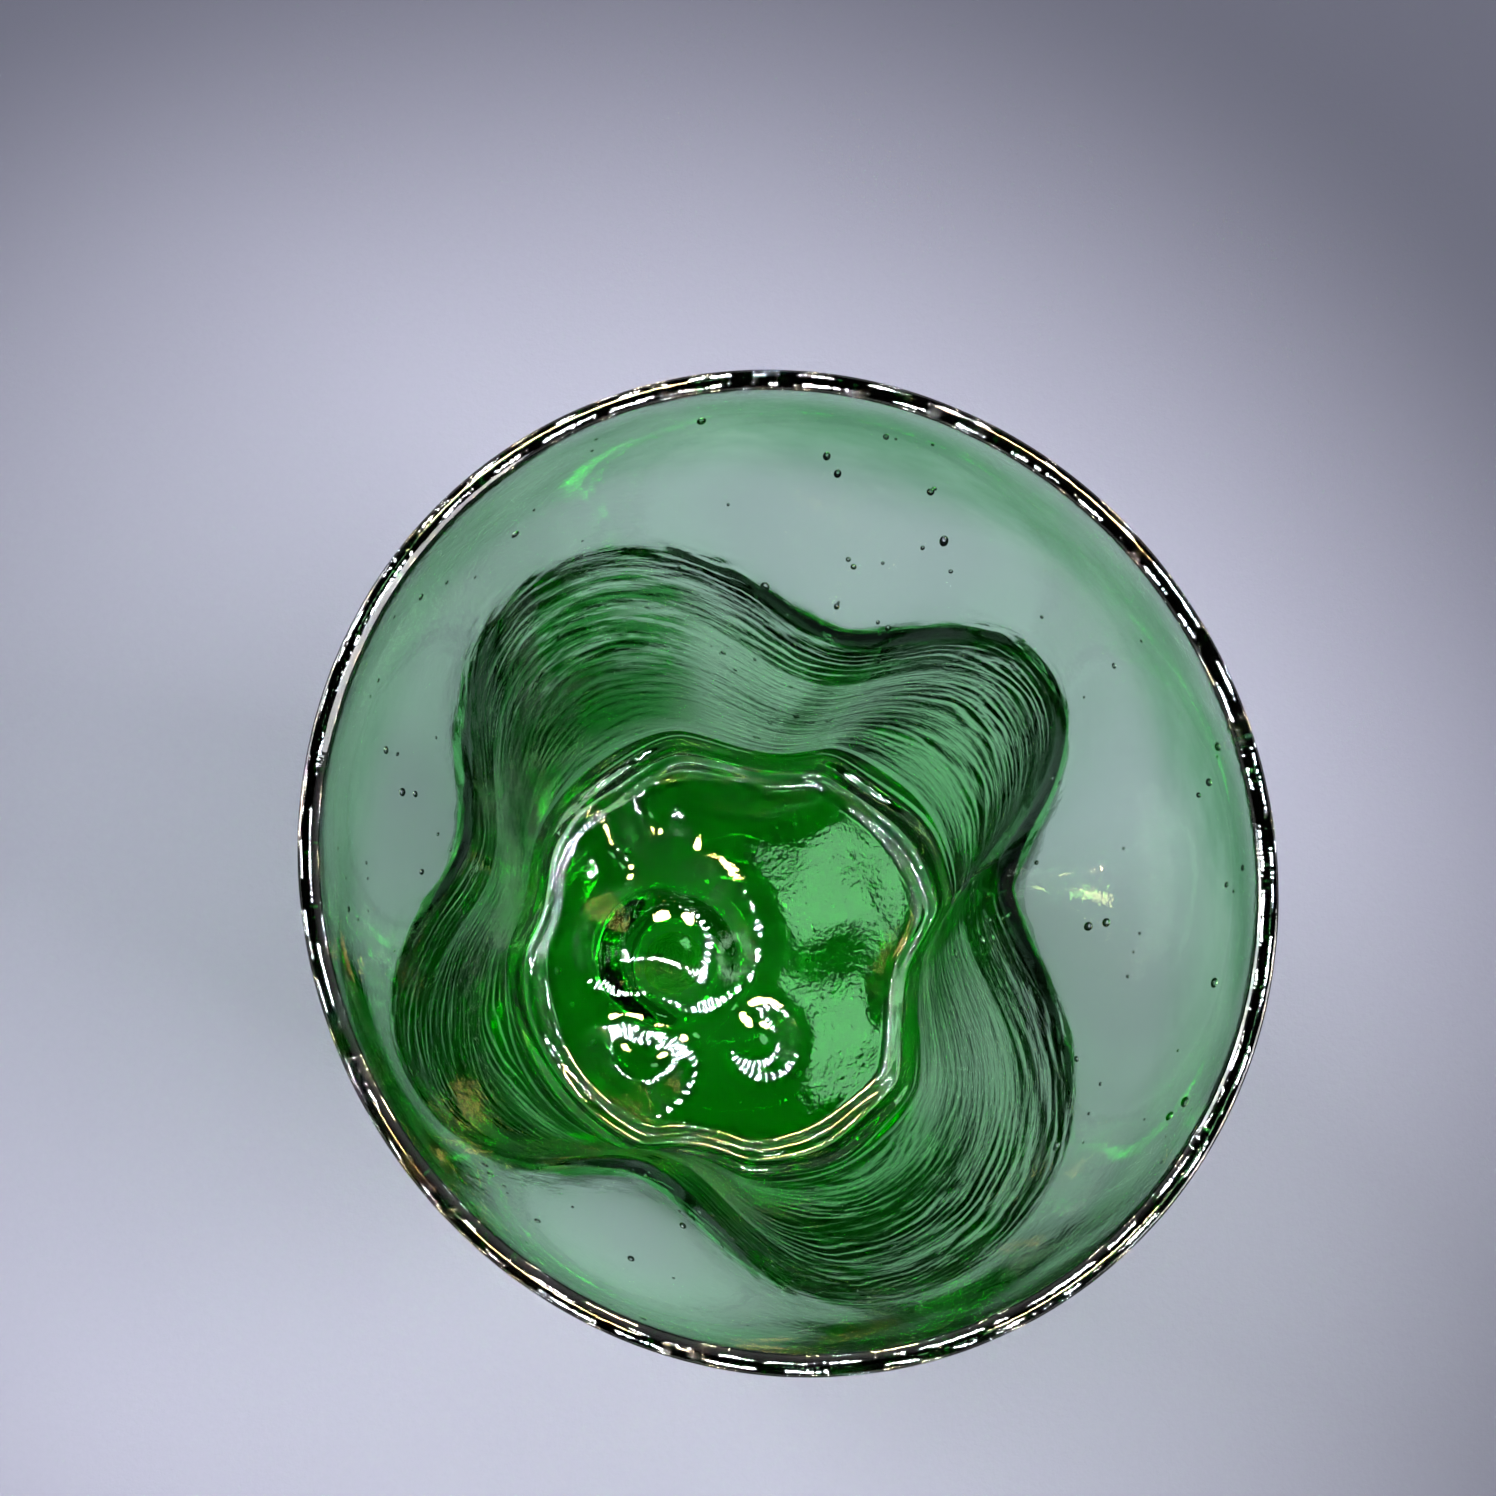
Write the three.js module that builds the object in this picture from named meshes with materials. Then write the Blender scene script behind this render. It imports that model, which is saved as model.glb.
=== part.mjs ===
// A hand-blown glass tumbler: a round rim, four finger dimples in the sides, and a thick
// base that is hollow underneath. It is one unbroken piece of glass, so it is one closed solid.
// Millimetres, +Z up. The origin is on the axis, at the level of the foot ring.
import * as THREE from 'three';

// Overall sizes
const HEIGHT = 95;
const RIM_RADIUS = 42.6;
const SHOULDER_RADIUS = 42.8;
const FOOT_RADIUS = 31;
const SHOULDER_Z = 68;
const RIM_OUT_OF_ROUND = 0.022;
const RIM_LONG_AXIS = 110;

// Glass thickness: thin at the lip, and growing from the fold to the base between the dimples
const WALL_AT_RIM = 1.5;
const WALL_AT_SHOULDER = 2.4;
const WALL_AT_BASE = 7;
const DIMPLE_THICKENING = 0.22;
const RIM_TAPER_Z = 83;

// The base: a flat foot ring round a hollow, and in it, off the axis, the steeper kick-up
// where the glass was held while it was worked
const FLOOR_Z = 16;
const FOOT_ROUNDING = 5;
const INNER_ROUNDING = 7;
const RING_INNER_RADIUS = 19;
const HOLLOW = 3;
const HOLLOW_TOP_RADIUS = 10;
const KICK_UP = 4.5;
const KICK_UP_CENTRE = { x: -7.5, y: -0.5 };
const KICK_UP_TOP_RADIUS = 3;
const KICK_UP_RADIUS = 10;
const SCAR_RADIUS = 3.6;
const SCAR_DROP = 1;

// Soft bumps in the floor inside. A hollow has a negative height.
const FLOOR_BUMPS = [
  { x: -8.4, y: 0.8, height: 1.8, radius: 8.8 },
  { x: -10, y: -7, height: -1, radius: 5 },
  { x: -11.5, y: -13, height: 1.3, radius: 5.8 },
  { x: 16, y: 1, height: -1.2, radius: 16 },
  { x: -16.5, y: 14, height: 1, radius: 4.8 },
  { x: -10.5, y: 15.5, height: -0.8, radius: 4.2 },
  { x: 3, y: -11, height: 0.7, radius: 4 },
];
const BUMP_SHARPNESS = 3;

// Finger dimples: direction at the shoulder and at the foot, depth at the fold, and the half
// widths on the clockwise and on the other side. Directions and half widths are in degrees.
const DIMPLES = [
  { shoulder: 75, foot: 86, depth: 14, before: 24, after: 31 },
  { shoulder: 170, foot: 168, depth: 10.5, before: 27, after: 21 },
  { shoulder: 247, foot: 262, depth: 12, before: 21, after: 24 },
  { shoulder: 362, foot: 346, depth: 17, before: 34, after: 25 },
];
const DIMPLE_SHARPNESS = 1.9;
const DIMPLE_TOP_Z = 91;
const DIMPLE_FOLD_Z = 66;
const DIMPLE_DEPTH_AT_FOOT = 0.22;
const DIMPLE_EDGE_DEPTH = 9;
const FOLD_SHARPNESS = 0.68;

// Facets
const SEGMENTS = 64;
const WALL_ROWS = 22;
const FLOOR_ROWS = 10;
const ROUNDING_ROWS = 5;

const { atan2, cos, exp, hypot, min, sin, sqrt, PI } = Math;
const { clamp, degToRad, euclideanModulo, lerp, radToDeg, smoothstep } = THREE.MathUtils;

// A curve through a few sizes of the wall, read at any height.
function curveOverHeight(...sizes) {
  const points = sizes.map(([z, size]) => new THREE.Vector2(z, size));
  const curve = new THREE.SplineCurve(points);
  return (z) => {
    let low = 0;
    let high = 1;
    for (let step = 0; step < 24; step += 1) {
      const middle = (low + high) / 2;
      if (curve.getPoint(middle).x < z) low = middle;
      else high = middle;
    }
    return curve.getPoint(low).y;
  };
}

// Radius of the round body before the dimples are pressed in.
const bodyRadius = curveOverHeight(
  [0, FOOT_RADIUS],
  [FLOOR_Z, FOOT_RADIUS + 3.5],
  [SHOULDER_Z * 0.45, FOOT_RADIUS + 7],
  [SHOULDER_Z * 0.8, SHOULDER_RADIUS - 0.8],
  [SHOULDER_Z, SHOULDER_RADIUS],
  [HEIGHT, RIM_RADIUS],
);

// How much of a dimple's depth is reached at a height: a rounded slope from the top down to
// the fold, and then a face that stays nearly upright while the body tapers to the foot.
function dimpleReach(z) {
  if (z > DIMPLE_FOLD_Z) {
    const climb = clamp((z - DIMPLE_FOLD_Z) / (DIMPLE_TOP_Z - DIMPLE_FOLD_Z), 0, 1);
    return 1 - smoothstep(climb ** FOLD_SHARPNESS, 0, 1);
  }
  return lerp(DIMPLE_DEPTH_AT_FOOT, 1, sin((z / DIMPLE_FOLD_Z) * (PI / 2)));
}

// The shortest turn between two directions, in degrees.
function turnBetween(a, b) {
  return euclideanModulo(a - b + 180, 360) - 180;
}

// How far the dimples would push the wall in at their full reach, at a direction and height.
function dimplePress(direction, z) {
  const towardsShoulder = clamp(z / DIMPLE_FOLD_Z, 0, 1);
  let depth = 0;
  for (const dimple of DIMPLES) {
    const centre = lerp(dimple.foot, dimple.shoulder, towardsShoulder);
    const turn = turnBetween(direction, centre);
    const away = turn > 0 ? turn / dimple.after : -turn / dimple.before;
    depth += dimple.depth * exp(-(away ** DIMPLE_SHARPNESS));
  }
  return depth;
}

// 1 in a lobe between two dimples, and 0 in a dimple.
function lobeShare(direction, z) {
  return 1 - min(dimplePress(direction, z) / DIMPLE_EDGE_DEPTH, 1);
}

function outerRadius(direction, z) {
  const oval = cos(degToRad(2 * (direction - RIM_LONG_AXIS))) * smoothstep(z, 0, HEIGHT);
  const pressed = dimplePress(direction, z) * dimpleReach(z);
  return bodyRadius(z) * (1 + RIM_OUT_OF_ROUND * oval) - pressed;
}

// A lobe's wall grows all the way to the base, and a dimple's only right under the fold.
function wallThickness(lobe, z) {
  const upper = lerp(WALL_AT_SHOULDER, WALL_AT_RIM, smoothstep(z, RIM_TAPER_Z, HEIGHT));
  const down = clamp((DIMPLE_FOLD_Z - z) / (DIMPLE_FOLD_Z - FLOOR_Z), 0, 1);
  const share = lerp(min(down, DIMPLE_THICKENING), down, lobe);
  return upper + (WALL_AT_BASE - WALL_AT_SHOULDER) * share;
}

// The wall keeps its thickness where it slopes, so it is wider when measured level.
function innerRadius(direction, z) {
  const step = 1;
  const outer = outerRadius(direction, z);
  const slope = (outerRadius(direction, z + step) - outerRadius(direction, z - step)) / (2 * step);
  const turn = (outerRadius(direction + step, z) - outerRadius(direction - step, z)) / 2;
  const across = turn / degToRad(step) / outer;
  const thickness = wallThickness(smoothstep(lobeShare(direction, z), 0, 1), z);
  return outer - thickness * sqrt(1 + slope * slope + across * across);
}

// Points of a quarter or half turn, without its first point.
function arc(centreR, centreZ, radius, fromAngle, toAngle, rows) {
  const points = [];
  for (let row = 1; row <= rows; row += 1) {
    const angle = lerp(fromAngle, toAngle, row / rows);
    points.push(new THREE.Vector2(centreR + radius * cos(angle), centreZ + radius * sin(angle)));
  }
  return points;
}

// Points up or down a wall of the round body, without its first point.
function wall(radiusAt, fromZ, toZ, rows) {
  const points = [];
  for (let row = 1; row <= rows; row += 1) {
    const z = lerp(fromZ, toZ, row / rows);
    points.push(new THREE.Vector2(radiusAt(z), z));
  }
  return points;
}

// Points of a level stretch between two distances from the axis, without its first point.
function level(z, fromR, toR) {
  const points = [];
  for (let row = 1; row <= FLOOR_ROWS; row += 1) {
    points.push(new THREE.Vector2(lerp(fromR, toR, row / FLOOR_ROWS), z));
  }
  return points;
}

// Height of the underside: the wide hollow, the kick-up, and the low scar where the rod
// broke off at the top of the kick-up.
function undersideHeight(x, y) {
  const away = hypot(x - KICK_UP_CENTRE.x, y - KICK_UP_CENTRE.y);
  const hollow = HOLLOW * (1 - smoothstep(hypot(x, y), HOLLOW_TOP_RADIUS, RING_INNER_RADIUS));
  const kickUp = KICK_UP * (1 - smoothstep(away, KICK_UP_TOP_RADIUS, KICK_UP_RADIUS));
  const scar = SCAR_DROP * (1 - smoothstep(away, SCAR_RADIUS / 2, SCAR_RADIUS));
  return hollow + kickUp - scar;
}

// How much the bumps raise the floor inside. They fade out up the rounding at its edge.
function floorLift(x, y, z) {
  let lift = 0;
  for (const bump of FLOOR_BUMPS) {
    const away = hypot(x - bump.x, y - bump.y) / bump.radius;
    lift += bump.height * exp(-(away ** BUMP_SHARPNESS));
  }
  return lift * smoothstep(FLOOR_Z + INNER_ROUNDING - z, 0, INNER_ROUNDING);
}

// The round body's outline, from the axis under the base, over the lip, to the axis inside.
function bodyOutline() {
  const lipRadius = WALL_AT_RIM / 2;
  const lipZ = HEIGHT - lipRadius;
  const footR = bodyRadius(FOOT_ROUNDING) - FOOT_ROUNDING;
  const roundInner = (z) => bodyRadius(z) - wallThickness(1, z);
  const innerFootZ = FLOOR_Z + INNER_ROUNDING;
  const innerFootR = roundInner(innerFootZ) - INNER_ROUNDING;

  const outside = [
    new THREE.Vector2(0, 0),
    ...level(0, 0, RING_INNER_RADIUS),
    new THREE.Vector2(footR, 0),
    ...arc(footR, FOOT_ROUNDING, FOOT_ROUNDING, -PI / 2, 0, ROUNDING_ROWS),
    ...wall(bodyRadius, FOOT_ROUNDING, lipZ, WALL_ROWS),
    ...arc(bodyRadius(lipZ) - lipRadius, lipZ, lipRadius, 0, PI / 2, 3),
  ];
  const inside = [
    ...arc(bodyRadius(lipZ) - lipRadius, lipZ, lipRadius, PI / 2, PI, 3),
    ...wall(roundInner, lipZ, innerFootZ, WALL_ROWS),
    ...arc(innerFootR, innerFootZ, INNER_ROUNDING, 0, -PI / 2, ROUNDING_ROWS),
    ...level(FLOOR_Z, innerFootR, 0),
  ];
  return { outside, inside };
}

// How much wider or narrower the glass is here than the round body. The dimples fade out
// towards the axis, so that the middle of the base isn't pressed.
function pressedScale(x, y, z, isInside) {
  const direction = radToDeg(atan2(y, x));
  const pressed = isInside ? innerRadius(direction, z) : outerRadius(direction, z);
  const round = isInside ? bodyRadius(z) - wallThickness(1, z) : bodyRadius(z);
  const reach = smoothstep(hypot(x, y), RING_INNER_RADIUS / 2, RING_INNER_RADIUS * 1.2);
  return lerp(1, pressed / round, reach);
}

// Turns the outline into a round body, then presses the dimples into both faces of the wall,
// and the hollow, the kick-up and the bumps into the base.
function tumblerGeometry() {
  const { outside, inside } = bodyOutline();
  const outline = [...outside, ...inside];
  const geometry = new THREE.LatheGeometry(outline, SEGMENTS);
  geometry.rotateX(PI / 2);
  const position = geometry.attributes.position;
  for (let index = 0; index < position.count; index += 1) {
    const isInside = index % outline.length >= outside.length;
    const z = position.getZ(index);
    const scale = pressedScale(position.getX(index), position.getY(index), z, isInside);
    const x = position.getX(index) * scale;
    const y = position.getY(index) * scale;
    const isUnderside = index % outline.length <= FLOOR_ROWS;
    const lift = isInside ? floorLift(x, y, z) : 0;
    position.setXYZ(index, x, y, isUnderside ? undersideHeight(x, y) : z + lift);
  }
  geometry.computeVertexNormals();
  return geometry;
}

const greenGlass = new THREE.MeshStandardMaterial({
  color: new THREE.Color(0.2, 0.55, 0.3),
  roughness: 0.03,
  metalness: 0,
  transparent: true,
  opacity: 0.5,
});

const body = new THREE.Mesh(tumblerGeometry(), greenGlass);
body.name = 'glass_body';

const tumbler = new THREE.Group();
tumbler.name = 'dimpled_tumbler';
tumbler.add(body);

export default tumbler;
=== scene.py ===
"""A hand-blown green glass tumbler with four finger dimples, standing on a pale table.

The glass is one closed mesh: an outline is spun round the axis, the dimples are pressed into
both faces of the wall, the chill marks and the waves of hand-worked glass are added, and the
gas bubbles are hollows inside it. All sizes are in metres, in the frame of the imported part.
"""
import logging
import math
import random
from dataclasses import dataclass, field
from enum import Enum
from typing import Callable, Iterable

import bmesh
import bpy
from mathutils import Matrix, Vector, noise


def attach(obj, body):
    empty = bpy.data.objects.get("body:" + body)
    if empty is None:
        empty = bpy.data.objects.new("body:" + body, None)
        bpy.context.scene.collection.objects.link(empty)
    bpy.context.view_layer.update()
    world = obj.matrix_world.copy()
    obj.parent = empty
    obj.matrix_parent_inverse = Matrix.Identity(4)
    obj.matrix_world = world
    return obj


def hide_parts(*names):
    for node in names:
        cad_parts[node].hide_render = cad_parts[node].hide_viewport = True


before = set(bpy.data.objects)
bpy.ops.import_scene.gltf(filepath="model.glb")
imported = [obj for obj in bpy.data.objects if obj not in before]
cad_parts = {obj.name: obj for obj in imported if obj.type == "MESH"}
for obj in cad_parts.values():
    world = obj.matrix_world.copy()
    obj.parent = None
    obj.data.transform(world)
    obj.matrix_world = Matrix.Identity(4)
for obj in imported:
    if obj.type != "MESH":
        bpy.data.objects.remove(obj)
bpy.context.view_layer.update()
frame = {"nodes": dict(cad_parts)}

MM = 0.001
LOG = logging.getLogger("tumbler")

Span = tuple[float, float]
Place = tuple[float, float, float]
Light = tuple[float, float, float]
Colour = tuple[float, float, float, float]


# Small maths helpers


def smooth(value: float, low: float = 0.0, high: float = 1.0) -> float:
    """Eases from 0 at low to 1 at high.

    Args:
        value: The number to ease.
        low: Where the result starts to rise.
        high: Where the result reaches 1.

    Returns:
        A number from 0 to 1.
    """
    t = min(max((value - low) / (high - low), 0.0), 1.0)
    return t * t * (3.0 - 2.0 * t)


def mix(a: float, b: float, t: float) -> float:
    """Returns the number that lies t of the way from a to b."""
    return a + (b - a) * t


def turn_between(a: float, b: float) -> float:
    """Returns the shortest turn from direction b to direction a, in radians."""
    return (a - b + math.pi) % math.tau - math.pi


class CurveOverHeight:
    """A smooth curve through a few sizes of the wall, read at any height."""

    STEPS = 600
    FINER = 4
    NEARLY_ALL = 0.999999

    def __init__(self, points: list[Span]) -> None:
        """Samples the curve at even heights, so that reading it is quick.

        Args:
            points: Pairs of height and size, from the lowest height to the highest.
        """
        self.low, self.high = points[0][0], points[-1][0]
        count = self.STEPS * self.FINER
        fine = [self._point(points, step / count) for step in range(count + 1)]
        self.sizes: list[float] = []
        index = 0
        for step in range(self.STEPS + 1):
            height = mix(self.low, self.high, step / self.STEPS)
            while index < len(fine) - 2 and fine[index + 1][0] < height:
                index += 1
            (z0, r0), (z1, r1) = fine[index], fine[index + 1]
            self.sizes.append(mix(r0, r1, (height - z0) / (z1 - z0)))

    @staticmethod
    def _point(points: list[Span], t: float) -> Span:
        """Finds a point of the Catmull-Rom curve through the points.

        Args:
            points: The points that the curve runs through.
            t: The place along the curve, from 0 to 1.

        Returns:
            The height and the size there.
        """
        last = len(points) - 1
        first = min(int(t * last), last - 1)
        u = t * last - first
        corners = points[max(first - 1, 0)], points[first], points[first + 1], points[min(first + 2, last)]
        found = []
        for before, start, end, after in zip(*corners):
            leave, arrive = (end - before) / 2, (after - start) / 2
            cubic = 2 * start - 2 * end + leave + arrive
            square = 3 * end - 3 * start - 2 * leave - arrive
            found.append(((cubic * u + square) * u + leave) * u + start)
        return found[0], found[1]

    def at(self, height: float) -> float:
        """Returns the size at a height, or at the nearer end of the curve."""
        share = (height - self.low) / (self.high - self.low)
        place = min(max(share, 0.0), self.NEARLY_ALL) * self.STEPS
        step = int(place)
        return mix(self.sizes[step], self.sizes[step + 1], place - step)


# The shape of the glass


@dataclass(frozen=True)
class Dimple:
    """A finger dimple.

    Attributes:
        shoulder: Its direction where it folds under the shoulder, in degrees.
        foot: Its direction at the foot, in degrees.
        depth: How far it pushes the wall in at the fold.
        before: Its half width on the clockwise side, seen from above, in degrees.
        after: Its half width on the other side, in degrees.
    """

    shoulder: float
    foot: float
    depth: float
    before: float
    after: float


class Face(Enum):
    """The two faces of the glass."""

    OUTSIDE = "outside"
    INSIDE = "inside"


@dataclass(frozen=True)
class FloorBump:
    """A soft bump in the floor inside, or a hollow where its height is negative.

    Attributes:
        x: The place of its middle.
        y: The place of its middle.
        height: Its height.
        radius: The radius where it has mostly faded out.
    """

    x: float
    y: float
    height: float
    radius: float

    def lift(self, x: float, y: float) -> float:
        """Returns how much the bump raises the floor at x, y."""
        away = math.hypot(x - self.x, y - self.y) / self.radius
        return self.height * math.exp(-(away ** 3))


@dataclass
class TumblerShape:
    """The sizes of the tumbler, and where its two faces lie. Names that end in _z are heights."""

    height: float = 95.0 * MM
    rim_radius: float = 42.6 * MM
    shoulder_radius: float = 42.8 * MM
    foot_radius: float = 31.0 * MM
    heel_flare: float = 3.5 * MM
    waist_flare: float = 7.0 * MM
    shoulder_ease: float = 0.8 * MM
    shoulder_z: float = 68.0 * MM
    out_of_round: float = 0.022
    long_axis: float = 110.0

    wall_at_rim: float = 1.8 * MM
    wall_at_shoulder: float = 2.4 * MM
    wall_at_base: float = 7.0 * MM
    dimple_thickening: float = 0.22
    rim_taper_z: float = 74.0 * MM

    floor_z: float = 16.0 * MM
    ripple_margin: float = 2.0 * MM
    foot_rounding: float = 5.0 * MM
    inner_rounding: float = 7.0 * MM
    ring_inner_radius: float = 19.0 * MM
    hollow: float = 3.0 * MM
    hollow_top_radius: float = 10.0 * MM
    kick_up: float = 4.5 * MM
    kick_up_centre: Span = (-7.5 * MM, -0.5 * MM)
    kick_up_top_radius: float = 3.0 * MM
    kick_up_radius: float = 10.0 * MM
    scar_radius: float = 3.6 * MM
    scar_drop: float = 1.0 * MM
    floor_bumps: tuple[FloorBump, ...] = (
        FloorBump(-8.4 * MM, 0.8 * MM, 1.8 * MM, 8.8 * MM),
        FloorBump(-10.0 * MM, -7.0 * MM, -1.0 * MM, 5.0 * MM),
        FloorBump(-11.5 * MM, -13.0 * MM, 1.3 * MM, 5.8 * MM),
        FloorBump(16.0 * MM, 1.0 * MM, -0.4 * MM, 16.0 * MM),
        FloorBump(-16.5 * MM, 14.0 * MM, 1.0 * MM, 4.8 * MM),
        FloorBump(-10.5 * MM, 15.5 * MM, -0.8 * MM, 4.2 * MM),
        FloorBump(3.0 * MM, -11.0 * MM, 0.7 * MM, 4.0 * MM),
    )

    dimples: tuple[Dimple, ...] = (
        Dimple(shoulder=75, foot=86, depth=14.0 * MM, before=24, after=31),
        Dimple(shoulder=170, foot=168, depth=10.5 * MM, before=27, after=21),
        Dimple(shoulder=247, foot=262, depth=12.0 * MM, before=21, after=24),
        Dimple(shoulder=362, foot=346, depth=17.0 * MM, before=34, after=25),
    )
    dimple_sharpness: float = 1.9
    dimple_top_z: float = 91.0 * MM
    dimple_fold_z: float = 66.0 * MM
    dimple_depth_at_foot: float = 0.22
    fold_sharpness: float = 0.68
    full_press: float = 9.0 * MM

    body: CurveOverHeight = field(init=False)

    def __post_init__(self) -> None:
        """Draws the side of the round body, before the dimples are pressed in."""
        self.body = CurveOverHeight([
            (0.0, self.foot_radius),
            (self.floor_z, self.foot_radius + self.heel_flare),
            (self.shoulder_z * 0.45, self.foot_radius + self.waist_flare),
            (self.shoulder_z * 0.8, self.shoulder_radius - self.shoulder_ease),
            (self.shoulder_z, self.shoulder_radius),
            (self.height, self.rim_radius),
        ])

    def dimple_reach(self, z: float) -> float:
        """Returns how much of a dimple's depth is reached at height z, from 0 to 1."""
        if z > self.dimple_fold_z:
            climb = min((z - self.dimple_fold_z) / (self.dimple_top_z - self.dimple_fold_z), 1.0)
            return 1.0 - smooth(climb ** self.fold_sharpness)
        rise = math.sin(max(z, 0.0) / self.dimple_fold_z * math.pi / 2)
        return mix(self.dimple_depth_at_foot, 1.0, rise)

    def dimple_press(self, direction: float, z: float) -> float:
        """Finds how strongly the dimples press at one place.

        Args:
            direction: The direction from the axis, in radians.
            z: The height.

        Returns:
            The inward move of the wall at the fold's full reach.
        """
        towards_shoulder = min(max(z / self.dimple_fold_z, 0.0), 1.0)
        depth = 0.0
        for dimple in self.dimples:
            centre = math.radians(mix(dimple.foot, dimple.shoulder, towards_shoulder))
            turn = math.degrees(turn_between(direction, centre))
            away = turn / dimple.after if turn > 0 else -turn / dimple.before
            depth += dimple.depth * math.exp(-(away ** self.dimple_sharpness))
        return depth

    def lobe(self, direction: float, z: float) -> float:
        """Returns how far this place is from the dimples: 1 in a lobe, 0 in a dimple."""
        return 1.0 - min(self.dimple_press(direction, z) / self.full_press, 1.0)

    def outer_radius(self, direction: float, z: float) -> float:
        """Finds the outside of the glass.

        Args:
            direction: The direction from the axis, in radians.
            z: The height.

        Returns:
            The distance from the axis.
        """
        oval = math.cos(2 * (direction - math.radians(self.long_axis))) * smooth(z, 0, self.height)
        pressed = self.dimple_press(direction, z) * self.dimple_reach(z)
        return self.body.at(z) * (1 + self.out_of_round * oval) - pressed

    def wall(self, lobe: float, z: float) -> float:
        """Finds the thickness of the glass.

        Args:
            lobe: 1 in a lobe, 0 in a dimple.
            z: The height.

        Returns:
            The thickness, which grows from the fold to the base in the lobes, and only
            right under the fold in the dimples.
        """
        upper = mix(self.wall_at_shoulder, self.wall_at_rim, smooth(z, self.rim_taper_z, self.height))
        down = min(max((self.dimple_fold_z - z) / (self.dimple_fold_z - self.floor_z), 0.0), 1.0)
        share = mix(min(down, self.dimple_thickening), down, lobe)
        return upper + (self.wall_at_base - self.wall_at_shoulder) * share

    def inner_radius(self, direction: float, z: float) -> float:
        """Finds the inside of the glass, which keeps its distance from the sloping outside.

        Args:
            direction: The direction from the axis, in radians.
            z: The height.

        Returns:
            The distance from the axis.
        """
        step, turn = 1.0 * MM, math.radians(1.0)
        outer = self.outer_radius(direction, z)
        above, below = self.outer_radius(direction, z + step), self.outer_radius(direction, z - step)
        left, right = self.outer_radius(direction + turn, z), self.outer_radius(direction - turn, z)
        slope = (above - below) / (2 * step)
        bend = (left - right) / (2 * turn)
        wall = self.wall(smooth(self.lobe(direction, z)), z)
        return outer - wall * math.sqrt(1 + slope * slope + (bend / outer) ** 2)

    def underside_z(self, x: float, y: float) -> float:
        """Finds the height of the underside over the table.

        Args:
            x: The place.
            y: The place.

        Returns:
            The height of the wide hollow, with the kick-up and the low scar in it.
        """
        away = math.hypot(x - self.kick_up_centre[0], y - self.kick_up_centre[1])
        hollow = self.hollow * (1 - smooth(math.hypot(x, y), self.hollow_top_radius, self.ring_inner_radius))
        kick_up = self.kick_up * (1 - smooth(away, self.kick_up_top_radius, self.kick_up_radius))
        scar = self.scar_drop * (1 - smooth(away, self.scar_radius / 2, self.scar_radius))
        return hollow + kick_up - scar

    def floor_lift(self, x: float, y: float) -> float:
        """Returns how much the bumps raise the floor inside at x, y."""
        return sum(bump.lift(x, y) for bump in self.floor_bumps)


Outline = list[tuple[float, float, Face]]


@dataclass(frozen=True)
class Lip:
    """The fire-polished lip, which bends slowly on top and on the slope into the mouth.

    Attributes:
        bends: The stretches from the outside over the top to the inside. Each has the angle
            where it ends, in degrees, and its radius as a share of the lip's width.
        rows: The number of points in a stretch.
    """

    bends: tuple[Span, ...] = (
        (84.0, 0.172), (90.0, 2.35), (111.0, 0.345), (120.0, 2.76), (180.0, 0.172))
    rows: int = 4

    def points(self, width: float, outside: float, top: float) -> Outline:
        """Makes the points of the lip.

        Args:
            width: The thickness of the glass at the lip.
            outside: The distance of the lip's outside from the axis.
            top: The height of its top.

        Returns:
            The points, with the first and the last one.
        """
        r, z, start = 0.0, 0.0, 0.0
        found = [(r, z, Face.OUTSIDE)]
        for end, share in self.bends:
            for row in range(1, self.rows + 1):
                angles = math.radians(start), math.radians(mix(start, end, row / self.rows))
                step_r = share * width * (math.cos(angles[1]) - math.cos(angles[0]))
                step_z = share * width * (math.sin(angles[1]) - math.sin(angles[0]))
                found.append((r + step_r, z + step_z, Face.OUTSIDE if end <= 90 else Face.INSIDE))
            r, z, start = found[-1][0], found[-1][1], end
        rise = max(height for _, height, _ in found)
        return [(outside + away, top - rise + height, face) for away, height, face in found]


@dataclass
class OutlineRows:
    """How finely each stretch of the outline is divided."""

    underside: int = 18
    foot_ring: int = 4
    foot: int = 8
    outer_ripples: int = 56
    outer_upper: int = 12
    inner_upper: int = 14
    inner_ripples: int = 108
    inner_foot: int = 34
    floor: int = 24


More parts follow.
